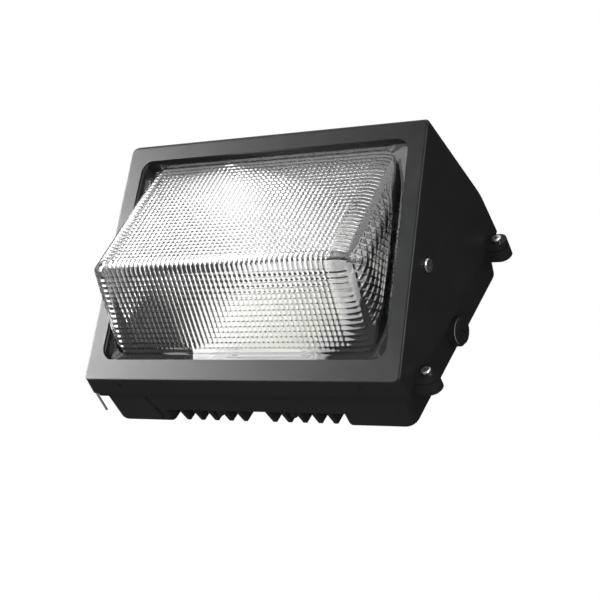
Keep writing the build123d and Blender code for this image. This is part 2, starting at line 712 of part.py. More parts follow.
with BuildPart() as back_box:
    add(box_loft(0, box_body_y, 0))
    fillet(back_box.faces().sort_by(Axis.Y)[-1].edges(), radius=box_rear_r)
    # the recess that the fins stand in
    with BuildSketch(facing(0)):
        Rectangle(2 * foot_inner, 2 * door_height)
    extrude(amount=recess_depth, mode=Mode.SUBTRACT)
    foot_edges = back_box.edges().filter_by(Axis.Z).filter_by(
        lambda e: abs(abs(e.center().X) - foot_inner) < 0.1 and e.center().Y > -0.1
    )
    fillet(foot_edges, radius=foot_edge_r)
    add(box_rim.part)
    add(corner_pad.part)
    # hollow
    add(box_cavity.part, mode=Mode.SUBTRACT)
    with BuildSketch(facing(box_body_y)):
        RectangleRounded(2 * (rim_half - box_rim_width), 2 * (rim_top - box_rim_width), door_corner_r)
    extrude(amount=box_rim_thick, mode=Mode.SUBTRACT)
    # fins, each with sloping ends
    fin_bottom = box_edge(-recess_depth, box_bottom_front, box_bottom_rear) + fin_margin
    fin_top = box_edge(-recess_depth, box_top_front, box_top_rear) - fin_margin
    fin_xs = [side * fin_pitch * (i + 1) for side in (-1, 1) for i in range(fins_per_side)]
    for x in fin_xs:
        with BuildSketch(Plane.YZ.offset(x - fin_thick / 2)):
            with BuildLine():
                Polyline(
                    (-recess_depth - box_wall / 2, fin_bottom), (-recess_depth, fin_bottom),
                    (-fin_gap_to_wall, fin_bottom + fin_slope), (-fin_gap_to_wall, fin_top - fin_slope * 2),
                    (-recess_depth, fin_top), (-recess_depth - box_wall / 2, fin_top), close=True,
                )
            make_face()
        extrude(amount=fin_thick)
    # bosses between the fins
    with BuildSketch(facing(-recess_depth)):
        with Locations(*[(x, z) for x in (-pad_boss_x, pad_boss_x)
                         for z in (fin_bottom + pad_boss_drop, fin_top - pad_boss_drop)]):
            Circle(pad_boss_r)
    extrude(amount=-pad_boss_h)
    # hub of the rear wire entry
    with BuildSketch(facing(0)):
        Circle(hub_r)
    extrude(amount=-fin_wall_inner + hub_inner_reach)
    with BuildSketch(facing(0)):
        Circle(entry_r)
    extrude(amount=-fin_wall_inner + hub_inner_reach, mode=Mode.SUBTRACT)
    # hubs of the side entries
    for side in (-1, 1):
        inner_x = box_half_rear - box_wall - hub_inner_reach
        with BuildSketch(Plane.YZ.offset(side * inner_x)):
            with Locations((entry_y, entry_z)):
                Circle(hub_r)
        extrude(amount=side * (hub_face_x - inner_x))
        with BuildSketch(Plane.YZ.offset(side * inner_x)):
            with Locations((entry_y, entry_z)):
                Circle(entry_r)
        extrude(amount=side * (hub_face_x - inner_x), mode=Mode.SUBTRACT)
    # ears on the right, counterbored for the captive screws
    for z in ear_zs:
        with BuildSketch(facing(ear_back)):
            with Locations((ear_x, z)):
                Circle(ear_r)
            with Locations(((ear_x + box_half_front - box_wall) / 2, z)):
                Rectangle(ear_x - box_half_front + box_wall, 2 * ear_r)
        extrude(amount=box_ear_thick)
        with BuildSketch(facing(ear_back)):
            with Locations((ear_x, z)):
                Circle(screw_r + screw_swing_clearance)
        extrude(amount=box_ear_thick, mode=Mode.SUBTRACT)
        with BuildSketch(facing(box_rim_y + counterbore_depth)):
            with Locations((ear_x, z)):
                Circle(counterbore_r)
        extrude(amount=counterbore_depth, mode=Mode.SUBTRACT)
    # outer knuckles of each hinge on the left
    for low in hinge_bottoms:
        for step in (0, 2):
            with BuildSketch(Plane.XY.offset(low + step * (knuckle_len + knuckle_gap))):
                with Locations((hinge_x, hinge_y)):
                    Circle(knuckle_r)
                with Locations(((hinge_x - rim_half + 1) / 2, (hinge_y + knuckle_r + box_rim_y) / 2)):
                    Rectangle(1 - rim_half - hinge_x, hinge_y + knuckle_r - box_rim_y)
                with Locations((hinge_x, hinge_y)):
                    Circle(pin_r + pin_clearance, mode=Mode.SUBTRACT)
            extrude(amount=knuckle_len)
    # posts that carry the light engine
    with BuildSketch(facing(fin_wall_inner)):
        with Locations(*post_places):
            Circle(post_r)
            Circle(small_screw_r + thread_clearance, mode=Mode.SUBTRACT)
    extrude(amount=fin_wall_inner - spreader_y)
    # tapped holes for the driver, and the boss for the ground screw
    with BuildSketch(facing(-foot_floor)):
        with Locations(*driver_screw_places):
            Circle(small_screw_r + thread_clearance)
    extrude(amount=-floor_screw_depth - 0.2, mode=Mode.SUBTRACT)
    with BuildSketch(facing(-foot_floor)):
        with Locations((ground_x, ground_z)):
            Circle(ground_boss_r)
    extrude(amount=ground_boss_h)
    with BuildSketch(facing(-foot_floor - ground_boss_h)):
        with Locations((ground_x, ground_z)):
            Circle(small_screw_r + thread_clearance)
    extrude(amount=-ground_shank - 0.2, mode=Mode.SUBTRACT)
    # wall screw holes in the feet
    with BuildSketch(facing(0)):
        with Locations(*[(x, z) for x in (-wall_hole_x, wall_hole_x) for z in (-wall_hole_z, wall_hole_z)]):
            Circle(wall_hole_r)
    extrude(amount=foot_floor, mode=Mode.SUBTRACT)
back_box.part.label = "back_box"
export_step(back_box.part, "parts/back_box.step")

# ---------------------------------------------------------------- hinge pins, bent towards the wall below
for low, name in zip(hinge_bottoms, ("lower", "upper")):
    tail_z = low - pin_drop - pin_bend_r
    top_z = low + 3 * knuckle_len + 2 * knuckle_gap + pin_end
    with BuildPart() as hinge_pin:
        with BuildLine() as route:
            FilletPolyline(
                (hinge_x, hinge_y, top_z), (hinge_x, hinge_y, tail_z), (hinge_x, hinge_y + pin_tail, tail_z),
                radius=pin_bend_r,
            )
        with BuildSketch(Plane(origin=(hinge_x, hinge_y, top_z), z_dir=(0, 0, -1))):
            Circle(pin_r)
        sweep()
    hinge_pin.part.label = f"hinge_pin_{name}"
    export_step(hinge_pin.part, f"parts/hinge_pin_{name}.step")

# ---------------------------------------------------------------- captive screws and their retaining washers
retainer_y = box_rim_y + counterbore_depth - retainer_clearance
for z, name in zip(ear_zs, ("upper", "lower")):
    seat = Plane(origin=(ear_x, ear_front, z), x_dir=(1, 0, 0), z_dir=(0, -1, 0))
    captive_screw = screw(seat, screw_r, ear_back - 1.5 - ear_front, pan_head_r, pan_head_h)
    captive_screw.label = f"captive_screw_{name}"
    export_step(captive_screw, f"parts/captive_screw_{name}.step")
    with BuildPart() as retaining_washer:
        with BuildSketch(facing(retainer_y)):
            with Locations((ear_x, z)):
                Circle(counterbore_r - retainer_clearance)
                Circle(screw_r + thread_clearance, mode=Mode.SUBTRACT)
        extrude(amount=retainer_thick)
    retaining_washer.part.label = f"retaining_washer_{name}"
    export_step(retaining_washer.part, f"parts/retaining_washer_{name}.step")

# ---------------------------------------------------------------- conduit plugs
for side, name in ((-1, "left"), (1, "right")):
    head_seat = hub_face_x + plug_washer
    plug_axis = Plane(origin=(side * head_seat, entry_y, entry_z), x_dir=(0, side, 0), z_dir=(side, 0, 0))
    with BuildPart() as conduit_plug:
        with BuildSketch(plug_axis):
            Circle(entry_r - thread_clearance)
        extrude(amount=-plug_length)
        with BuildSketch(plug_axis):
            Circle(plug_head_r)
        extrude(amount=plug_head_h)
        rim_edge = conduit_plug.faces().sort_by(Axis(plug_axis.origin, plug_axis.z_dir))[-1].edges()
        fillet(rim_edge, radius=plug_head_h * 0.4)
        with BuildSketch(plug_axis.offset(-plug_floor)):
            Circle(plug_bore_r)
        extrude(amount=-plug_length, mode=Mode.SUBTRACT)
        with BuildSketch(plug_axis.offset(plug_head_h)):
            SlotOverall(plug_slot_len, plug_slot_width, rotation=side * plug_slot_turn)
        extrude(amount=-plug_slot_depth, mode=Mode.SUBTRACT)
    conduit_plug.part.label = f"conduit_plug_{name}"
    export_step(conduit_plug.part, f"parts/conduit_plug_{name}.step")

with BuildPart() as plug_washers:
    for side in (-1, 1):
        with BuildSketch(Plane.YZ.offset(side * hub_face_x)):
            with Locations((entry_y, entry_z)):
                Circle(plug_head_r)
                Circle(entry_r, mode=Mode.SUBTRACT)
        extrude(amount=side * plug_washer)
plug_washers.part.label = "plug_washers"
export_step(plug_washers.part, "parts/plug_washers.step")

# ---------------------------------------------------------------- light engine
board_screw_x = board_width / 2 - 2 * small_head_r
board_screw_z = board_height / 2 - 2 * small_head_r
board_screw_places = [
    (x, z) for x in (-board_screw_x, board_screw_x) for z in (-board_screw_z, board_screw_z)
]
lead_ends = [(lead_end[0], post_z + lead_end[2] - step * lead_drop) for step in (0, 1)]

with BuildPart() as spreader_plate:
    with BuildSketch(facing(spreader_y)):
        RectangleRounded(spreader_width, spreader_height, 4)
        with Locations(*post_places, *board_screw_places):
            Circle(small_screw_r + thread_clearance, mode=Mode.SUBTRACT)
        with Locations(*lead_ends):
            Circle(lead_hole_r, mode=Mode.SUBTRACT)
    extrude(amount=spreader_thick)
spreader_plate.part.label = "spreader_plate"
export_step(spreader_plate.part, "parts/spreader_plate.step")

with BuildPart() as thermal_pad:
    with BuildSketch(facing(spreader_front)):
        Rectangle(board_width, board_height)
        with Locations(*board_screw_places):
            Circle(small_screw_r + thread_clearance, mode=Mode.SUBTRACT)
        with Locations(*lead_ends):
            Circle(lead_hole_r, mode=Mode.SUBTRACT)
    extrude(amount=thermal_pad_thick)
thermal_pad.part.label = "thermal_pad"
export_step(thermal_pad.part, "parts/thermal_pad.step")

with BuildPart() as led_board:
    with BuildSketch(facing(board_back)):
        Rectangle(board_width, board_height)
        with Locations(*board_screw_places):
            Circle(small_screw_r + thread_clearance, mode=Mode.SUBTRACT)
    extrude(amount=board_thick)
led_board.part.label = "led_board"
export_step(led_board.part, "parts/led_board.step")

with BuildPart() as led_chips:
    with BuildSketch(facing(board_front)):
        with GridLocations(chip_pitch, chip_pitch, chip_columns, chip_rows):
            Rectangle(chip_size, chip_size)
    extrude(amount=chip_thick)
led_chips.part.label = "led_chips"
export_step(led_chips.part, "parts/led_chips.step")


def screw_group(places, seat_y, shank_len):
    """Small pan-head screws whose heads face the front, as one group of solids."""
    seats = [Plane(origin=(x, seat_y, z), x_dir=(1, 0, 0), z_dir=(0, -1, 0)) for x, z in places]
    return Compound(children=[
        screw(seat, small_screw_r, shank_len, small_head_r, small_head_h) for seat in seats
    ])


board_screws = screw_group(board_screw_places, board_front, spreader_y - board_front)
board_screws.label = "board_screws"
export_step(board_screws, "parts/board_screws.step")

with BuildPart() as reflector:
    fold_x = spreader_width / 2 - reflector_thick
    sheet_y = spreader_front - reflector_thick / 2
    with BuildSketch(Plane.XY.offset(-spreader_height / 2)):
        with BuildLine():
            Polyline(
                (-fold_x - reflector_flare, sheet_y - reflector_reach), (-fold_x, sheet_y),
                (fold_x, sheet_y), (fold_x + reflector_flare, sheet_y - reflector_reach),
            )
        trace(line_width=reflector_thick)
    extrude(amount=spreader_height)
    with BuildSketch(front.offset(-reflector_clear)):
        with Locations((0, -window_mid_s)):
            Rectangle(2 * door_width, 2 * face_length)
    extrude(amount=2 * depth, mode=Mode.SUBTRACT)
    with BuildSketch(facing(spreader_front)):
        Rectangle(board_width + 2 * reflector_window_gap, board_height + 2 * reflector_window_gap)
        with Locations(*post_places):
            Circle(small_screw_r + thread_clearance)
    extrude(amount=reflector_thick, mode=Mode.SUBTRACT)
reflector.part.label = "reflector"
export_step(reflector.part, "parts/reflector.step")

reflector_front = spreader_front - reflector_thick
reflector_screws = screw_group(post_places, reflector_front, spreader_y - reflector_front + fixing_depth)
reflector_screws.label = "reflector_screws"
export_step(reflector_screws, "parts/reflector_screws.step")

# ---------------------------------------------------------------- driver
with BuildPart() as driver_base:
    with BuildSketch(facing(-foot_floor)):
        with Locations((driver_x, driver_mid_z)):
            RectangleRounded(driver_width, driver_height + 2 * driver_tab, 2)
        with Locations(*driver_screw_places):
            Circle(small_screw_r + thread_clearance, mode=Mode.SUBTRACT)
    extrude(amount=driver_tab_thick)
driver_base.part.label = "driver_base"
export_step(driver_base.part, "parts/driver_base.step")

with BuildPart() as driver_case:
    with BuildSketch(facing(-foot_floor - driver_tab_thick)):
        with Locations((driver_x, driver_mid_z)):
            Rectangle(driver_width, driver_height)
    extrude(amount=driver_depth)
    fillet(driver_case.edges().filter_by(Axis.Y), radius=driver_edge_r)
    chamfer(driver_case.faces().sort_by(Axis.Y)[0].edges(), length=driver_edge_r * 0.4)
driver_case.part.label = "driver_case"
export_step(driver_case.part, "parts/driver_case.step")

driver_tab_front = -foot_floor - driver_tab_thick
driver_screws = screw_group(driver_screw_places, driver_tab_front, driver_tab_thick + floor_screw_depth)
driver_screws.label = "driver_screws"
export_step(driver_screws, "parts/driver_screws.step")

# ---------------------------------------------------------------- terminal block, ground screw and leads
terminal_places = [
    (driver_x + (i - (terminal_poles - 1) / 2) * terminal_pitch, terminal_z) for i in range(terminal_poles)
]
terminal_front = -foot_floor - terminal_depth
with BuildPart() as terminal_block:
    with BuildSketch(facing(-foot_floor)):
        with Locations((driver_x, terminal_z)):
            Rectangle(terminal_width, terminal_height)
    extrude(amount=terminal_depth)
    chamfer(terminal_block.faces().sort_by(Axis.Y)[0].edges(), length=1)
    with BuildSketch(facing(terminal_front)):
        with Locations(*terminal_places):
            Circle(terminal_screw_r + thread_clearance)
    extrude(amount=-2 * terminal_screw_sunk - 2, mode=Mode.SUBTRACT)
terminal_block.part.label = "terminal_block"
export_step(terminal_block.part, "parts/terminal_block.step")

with BuildPart() as terminal_screws:
    with BuildSketch(facing(terminal_front + 2 * terminal_screw_sunk + 2)):
        with Locations(*terminal_places):
            Circle(terminal_screw_r)
    extrude(amount=terminal_screw_sunk + 2)
    with BuildSketch(facing(terminal_front + terminal_screw_sunk)):
        with Locations(*terminal_places):
            Rectangle(3 * terminal_screw_r, 0.8)
    extrude(amount=-0.8, mode=Mode.SUBTRACT)
terminal_screws.part.label = "terminal_screws"
export_step(terminal_screws.part, "parts/terminal_screws.step")

ground_seat = Plane(
    origin=(ground_x, -foot_floor - ground_boss_h, ground_z), x_dir=(1, 0, 0), z_dir=(0, -1, 0)
)
ground_screw = screw(ground_seat, small_screw_r, ground_shank, ground_head_r, ground_head_h)
ground_screw.label = "ground_screw"
export_step(ground_screw, "parts/ground_screw.step")


def bent_wire(points):
    """A round wire along straight runs, whose arcs are as large as the runs allow."""
    points = [Vector(p) for p in points]
    radii = []
    for before, corner, after in zip(points, points[1:], points[2:]):
        turn = (corner - before).get_angle(after - corner)
        run = min((corner - before).length, (after - corner).length)
        radii.append(0.45 * run / tan(radians(turn) / 2))
    with BuildPart() as wire:
        with BuildLine() as route:
            FilletPolyline(*points, radius=radii)
        with BuildSketch(Plane(origin=points[0], z_dir=points[1] - points[0])):
            Circle(wire_r)
        sweep()
    print("wire radii", [round(r, 1) for r in radii], "length", round(route.wires()[0].length, 1))
    return wire.part


terminal_top = terminal_z + terminal_height / 2
supply_y = -foot_floor - terminal_depth / 2
supply_leads = Compound(children=[
    bent_wire([
        (driver_x + shift, supply_y, terminal_top),
        (driver_x + shift, supply_y, terminal_top + supply_straight),
        (driver_x + shift, supply_y - supply_step, terminal_top + supply_straight + supply_slope),
        (driver_x + shift, supply_y - supply_step, driver_low),
    ])
    for shift in (-wire_pitch, 0, wire_pitch)
])
supply_leads.label = "supply_leads"
export_step(supply_leads, "parts/supply_leads.step")

output_leads = Compound(children=[
    bent_wire([
        (driver_x + lead_start[0] - 1.5 * drop, lead_start[1], driver_top),
        (driver_x + lead_start[0] - 1.5 * drop, lead_start[1], driver_top + lead_rise - drop),
        (*lead_corner, driver_top + lead_climb - drop),
        *[(x, y, post_z + z - drop) for x, y, z in lead_bends],
        (end_x, lead_end[1], end_z), (end_x, board_back, end_z),
    ])
    for drop, (end_x, end_z) in zip((0, lead_drop), lead_ends)
])
output_leads.label = "output_leads"
export_step(output_leads, "parts/output_leads.step")
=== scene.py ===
# %% [markdown]
# # A wall pack light, dressed around its CAD frame
# This lesson finishes an outdoor wall light: a black die-cast housing whose sloping door holds a thick pressed
# glass lens. The castings, screws and brackets come from the CAD frame and keep their shape, because every size
# is settled there. What Blender adds is the glass with all its flutes and ribs, and a finish for each surface.
#
# We start by loading the frame. Everything is in metres, with X to the right, Y back to the wall and Z up.

# %% Load the frame
from math import cos, pi, radians, sin

import bmesh
import bpy
import numpy as np
from mathutils import Matrix, Vector


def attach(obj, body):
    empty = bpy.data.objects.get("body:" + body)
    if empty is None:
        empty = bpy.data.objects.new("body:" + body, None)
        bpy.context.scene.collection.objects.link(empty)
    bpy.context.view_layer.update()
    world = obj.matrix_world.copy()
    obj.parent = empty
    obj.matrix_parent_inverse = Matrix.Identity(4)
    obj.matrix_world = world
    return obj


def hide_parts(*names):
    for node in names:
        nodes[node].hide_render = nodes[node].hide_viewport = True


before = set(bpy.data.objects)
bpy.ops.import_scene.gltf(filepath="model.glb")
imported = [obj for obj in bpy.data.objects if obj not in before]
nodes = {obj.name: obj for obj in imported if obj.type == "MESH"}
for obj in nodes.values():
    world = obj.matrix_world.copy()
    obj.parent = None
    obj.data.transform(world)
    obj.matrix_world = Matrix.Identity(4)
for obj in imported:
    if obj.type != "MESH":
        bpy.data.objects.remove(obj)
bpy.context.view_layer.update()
scene = bpy.context.scene
scene.view_settings.view_transform = "Standard"
MM = 0.001

# %% [markdown]
# ## Where the picture is taken from
# The light is seen from below and from its right front corner, so that the camera looks up at the lens. A camera
# is placed by two angles and a distance, and then turned about its own line of sight by the roll. The small shift
# slides the picture without changing the perspective, as a view camera does.

# %% The camera
# Angles in radians and the distance in metres. The focal length and the shift are in pixels of the 600 pixel frame,
# and the sensor's width is in millimetres.
CAMERA_AZIMUTH = 0.785867
CAMERA_ELEVATION = -0.669855
CAMERA_ROLL = 0.550894
CAMERA_DISTANCE = 1.505972
FOCAL_PIXELS = 1523.564
PICTURE_PIXELS = 600
SHIFT_PIXELS = (8.2318, 46.1625)
SENSOR_WIDTH = 36.0


def view_axes(azimuth, elevation, roll):
    """Right, up and backward directions of a camera turned by azimuth, elevation and then roll."""
    back = Vector((sin(azimuth) * cos(elevation), -cos(azimuth) * cos(elevation), sin(elevation)))
    level = Vector((cos(azimuth), sin(azimuth), 0))
    upright = back.cross(level)
    right = level * cos(roll) + upright * sin(roll)
    return right, back.cross(right), back


right, up, back = view_axes(CAMERA_AZIMUTH, CAMERA_ELEVATION, CAMERA_ROLL)
lens_data = bpy.data.cameras.new("view_camera")
lens_data.sensor_width = SENSOR_WIDTH
lens_data.lens = FOCAL_PIXELS / PICTURE_PIXELS * SENSOR_WIDTH
lens_data.shift_x = -SHIFT_PIXELS[0] / PICTURE_PIXELS
lens_data.shift_y = SHIFT_PIXELS[1] / PICTURE_PIXELS
camera = bpy.data.objects.new("view_camera", lens_data)
turn = Matrix((right, up, back)).transposed().to_4x4()
camera.matrix_world = Matrix.Translation(back * CAMERA_DISTANCE) @ turn
scene.collection.objects.link(camera)
scene.camera = camera
print("lens", round(lens_data.lens, 1), "mm, camera at", [round(c, 3) for c in camera.location])

# %% [markdown]
# ## A few helpers for materials
# A material in Blender is a graph of nodes. These helpers keep the graph short to write: one adds a node and sets
# its inputs by name, and one starts a material that already has its surface shader.


# %% Helpers for node graphs
def add_node(tree, kind, inputs=None, **settings):
    """Adds a node, sets its properties from settings, and fills or links its inputs."""
    node = tree.nodes.new(kind)
    for key, value in settings.items():
        setattr(node, key, value)
    for key, value in (inputs or {}).items():
        if isinstance(value, bpy.types.NodeSocket):
            tree.links.new(value, node.inputs[key])
        else:
            node.inputs[key].default_value = value
    return node


def start_material(name, **surface):
    """A new material with a Principled shader, and its node tree and shader."""
    material = bpy.data.materials.new(name)
    material.use_nodes = True
    tree = material.node_tree
    shader = tree.nodes["Principled BSDF"]
    for key, value in surface.items():
        shader.inputs[key.replace("_", " ")].default_value = value
    return material, tree, shader


def grain(tree, scale, detail=4.0, roughness=0.6, stretch=(1, 1, 1)):
    """Noise in object space, with scale in bumps per metre; stretch squeezes it along an axis."""
    place = add_node(tree, "ShaderNodeTexCoord").outputs["Object"]
    if stretch != (1, 1, 1):
        place = add_node(tree, "ShaderNodeMapping", {"Vector": place, "Scale": stretch}).outputs[0]
    return add_node(tree, "ShaderNodeTexNoise", {
        "Vector": place, "Scale": scale, "Detail": detail, "Roughness": roughness,
    }).outputs["Fac"]


def ramp(tree, value, stops):
    """Maps a value to colours between the stops (place, grey or colour)."""
    node = add_node(tree, "ShaderNodeValToRGB", {"Fac": value})
    elements = node.color_ramp.elements
    for i, (place, colour) in enumerate(stops):
        element = elements[i] if i < 2 else elements.new(place)
        element.position = place
        element.color = (colour, colour, colour, 1) if isinstance(colour, float) else (*colour, 1)
    return node.outputs["Color"]


def bump(tree, shader, height, distance):
    """Raises the shader's surface by height, distance metres at most."""
    node = add_node(tree, "ShaderNodeBump", {"Height": height, "Distance": distance, "Strength": 1.0})
    tree.links.new(node.outputs["Normal"], shader.inputs["Normal"])


# %% [markdown]
# ## Light and background
# The light stands alone on white. What the camera sees of the world is plain white. What shows through the glass or
# is mirrored is a studio: bright in front, so that the ribs of the glass catch it, and dark behind, so that the
# black sides stay black. Mirrored surfaces get a share of it. As a lamp, and for a ray that has already met a matt
# surface, the world is dimmer again.

# %% The world
WHITE_WORLD = 1.0
FRONT_WORLD = 3.1
MIRRORED_SHARE = 0.45
REAR_WORLD = 0.12
WORLD_AS_LAMP = 0.4
SIDE_BLEND = 0.15


def combine(tree, operation, first, second):
    """A Math node over two values."""
    return add_node(tree, "ShaderNodeMath", {0: first, 1: second}, operation=operation).outputs[0]


def ray_is(tree, *kinds):
    """1 for rays of any of these kinds, 0 for others."""
    path = add_node(tree, "ShaderNodeLightPath").outputs
    value = path["Is " + kinds[0] + " Ray"]
    for kind in kinds[1:]:
        value = combine(tree, "MAXIMUM", value, path["Is " + kind + " Ray"])
    return value


def choose(tree, factor, low, high):
    """low where factor is 0 and high where it is 1."""
    return add_node(tree, "ShaderNodeMix", {0: factor, 2: low, 3: high}).outputs[0]


world = bpy.data.worlds.new("studio")
scene.world = world
world.use_nodes = True
sky = world.node_tree
backwards = add_node(sky, "ShaderNodeSeparateXYZ", {
    0: add_node(sky, "ShaderNodeTexCoord").outputs["Generated"],
}).outputs["Y"]
studio = add_node(sky, "ShaderNodeMapRange", {
    "Value": backwards,
    "From Min": -SIDE_BLEND, "From Max": SIDE_BLEND,
    "To Min": FRONT_WORLD, "To Max": REAR_WORLD,
}).outputs[0]
matt_bounces = add_node(sky, "ShaderNodeLightPath").outputs["Diffuse Depth"]
no_matt_bounce = combine(sky, "LESS_THAN", matt_bounces, 0.5)
clear_view = combine(sky, "MINIMUM", ray_is(sky, "Glossy", "Transmission"), no_matt_bounce)
share = choose(sky, ray_is(sky, "Transmission"), MIRRORED_SHARE, 1.0)
mirrored = choose(sky, clear_view, WORLD_AS_LAMP, combine(sky, "MULTIPLY", studio, share))
brightness = choose(sky, ray_is(sky, "Camera"), mirrored, WHITE_WORLD)
sky.nodes["Background"].inputs["Color"].default_value = (1, 1, 1, 1)
sky.links.new(brightness, sky.nodes["Background"].inputs["Strength"])
print("world", WHITE_WORLD, "to the camera,", FRONT_WORLD, "in front,", REAR_WORLD, "behind")

# %% [markdown]
# ### The floor
# A wall light hangs well above the ground, so the floor lies far below it. It is one large sheet of pale paper. A
# little glow that only the camera sees keeps it pale, without sending more light up to the object.

# %% The floor
FLOOR_Z = -1.7
FLOOR_REACH = 6.0
FLOOR_GLOW = 0.35

floor_mesh = bpy.data.meshes.new("floor")
corners = [(-1, -1), (1, -1), (1, 1), (-1, 1)]
floor_mesh.from_pydata([(x * FLOOR_REACH, y * FLOOR_REACH, FLOOR_Z) for x, y in corners], [], [(0, 1, 2, 3)])
floor = bpy.data.objects.new("floor", floor_mesh)
scene.collection.objects.link(floor)
paper, tree, shader = start_material("floor_paper", Base_Color=(0.86, 0.86, 0.86, 1), Roughness=0.9)
tree.links.new(ramp(tree, grain(tree, 3.0), [(0.3, 0.84), (0.7, 0.88)]), shader.inputs["Base Color"])
shader.inputs["Emission Color"].default_value = (1, 1, 1, 1)
tree.links.new(choose(tree, ray_is(tree, "Camera"), 0.0, FLOOR_GLOW), shader.inputs["Emission Strength"])
floor_mesh.materials.append(paper)
print("floor", 2 * FLOOR_REACH, "m wide at", FLOOR_Z, "m")

# %% [markdown]
# ### Lamps
# `face_sheen` only shines for mirror-like rays: its soft reflection runs over the sloping frame and fades to the
# right. `edge_line` draws the light line along the frame's right edge. Both reach the castings and their fasteners
# alone, because on the white sheet behind the glass they would only glare. `inside_fill` looks into the lens and
# lights that sheet, and `band_glow` lies under the door's top wall, where the glass spreads it into a bright band.


# %% Lamps
def rectangle_lamp(name, size, radiance):
    """An area lamp of that width and height whose surface shines with that radiance."""
    data = bpy.data.lights.new(name, "AREA")
    data.shape = "RECTANGLE"
    data.size, data.size_y = size
    data.energy = radiance * pi * size[0] * size[1]
    lamp = bpy.data.objects.new(name, data)
    scene.collection.objects.link(lamp)
    return lamp


def softbox(name, direction, distance, width, radiance):
    """A square lamp in that direction from the light, facing it."""
    lamp = rectangle_lamp(name, (width, width), radiance)
    away = Vector(direction).normalized()
    lamp.matrix_world = (
        Matrix.Translation(away * distance) @ away.to_track_quat("Z", "Y").to_matrix().to_4x4()
    )
    return lamp


face_sheen = softbox("face_sheen", direction=(-0.86, -0.50, -0.10), distance=1.2, width=0.6, radiance=90.0)
edge_line = softbox("edge_line", direction=(0.764, -0.641, -0.084), distance=1.5, width=0.25, radiance=130.0)
OUTSIDE_METAL = ("door_frame", "back_box", "side_screw_right", "side_screw_left", "captive_screw_upper",
                 "captive_screw_lower", "hinge_pin_lower", "hinge_pin_upper")
mirroring = bpy.data.collections.new("mirroring")
for name in OUTSIDE_METAL:
    mirroring.objects.link(nodes[name])
for lamp in (face_sheen, edge_line):
    lamp.visible_diffuse = False
    lamp.visible_transmission = False
    lamp.light_linking.receiver_collection = mirroring
inside_fill = softbox("inside_fill", direction=(0.75, -0.50, -0.65), distance=1.6, width=0.6, radiance=20.0)
inside_fill.visible_glossy = False

BAND_SIZE = (0.11, 0.062)
BAND_MIDDLE = (-0.094, -0.083, 0.096)
BAND_TURN = -pi / 4
band_glow = rectangle_lamp("band_glow", BAND_SIZE, radiance=3.0)
band_glow.matrix_world = Matrix.Translation(BAND_MIDDLE) @ Matrix.Rotation(BAND_TURN, 4, "Z")
band_glow.visible_camera = False
print("lamps", [light.name for light in bpy.data.lights])

# %% [markdown]
# ## The finishes
# ### Powder coat
# The castings are sprayed with dry powder and baked. The skin is black and satin, with a fine orange peel. A bump
# from fine noise gives the peel without a single extra face, and two slower noises keep tone and gloss from being
# the same everywhere. The weak specular level keeps the black deep, as in the photograph's corners.


# %% Black powder coat
PEEL_PER_METRE = 900.0
PEEL_HEIGHT = 0.00008


def powder_coat():
    """Satin black powder coat: a fine orange-peel texture, slightly uneven in tone."""
    material, tree, shader = start_material(
        "black_coat", Base_Color=(0.009, 0.009, 0.0095, 1), Roughness=0.42, Specular_IOR_Level=0.1)
    tone = ramp(tree, grain(tree, 14.0, 3.0), [(0.35, (0.008, 0.008, 0.0085)), (0.7, (0.011, 0.011, 0.0115))])
    tree.links.new(tone, shader.inputs["Base Color"])
    gloss = ramp(tree, grain(tree, 60.0, 5.0), [(0.3, 0.38), (0.7, 0.47)])
    tree.links.new(gloss, shader.inputs["Roughness"])
    bump(tree, shader, grain(tree, PEEL_PER_METRE, 3.0, 0.5), PEEL_HEIGHT)
    return material


print("orange peel", PEEL_HEIGHT / MM, "mm high")

# %% [markdown]
# ### Bare metals
# Screws, clamps and washers are tumbled stainless steel, the spreader is sheet aluminium and the terminal screws are
# brass. All three are one recipe with another colour: fine scratches that change the gloss and raise the surface a
# little. Squeezed along one axis, the scratches become the grain of rolled sheet.


# %% Bare metals
SCRATCHES_PER_METRE = 700.0
SCRATCH_HEIGHT = 0.00002


def scratched_metal(name, colour, roughness, brushed=(1, 1, 1)):
    """Steel, aluminium or brass with fine scratches, along an axis where brushed squeezes the noise."""
    material, tree, shader = start_material(name, Base_Color=(*colour, 1), Metallic=1.0, Roughness=roughness)
    marks = grain(tree, SCRATCHES_PER_METRE, 6.0, 0.7, brushed)
    tree.links.new(ramp(tree, marks, [(0.3, roughness - 0.07), (0.7, roughness + 0.1)]), shader.inputs["Roughness"])
    shade = tuple(c * 0.82 for c in colour)
    tree.links.new(ramp(tree, grain(tree, 40.0), [(0.3, shade), (0.65, colour)]), shader.inputs["Base Color"])
    bump(tree, shader, marks, SCRATCH_HEIGHT)
    return material


print("scratches", SCRATCHES_PER_METRE, "per metre")

# %% [markdown]
# ### Enamel, rubber and plastic
# The reflector is enamelled, the seals are silicone and the driver, terminal block and leads are plastic. They are
# even in colour, so one recipe serves them all: a faint mottle, a gloss that wanders by a tenth, and a fine texture.
# Enamel and the ground screw's lacquer get a clear coat on top.


# %% Enamel, rubber and plastic
TEXTURE_HEIGHT = 0.00003
TONE_DRIFT = 0.06
GLOSS_DRIFT = (0.9, 1.15)


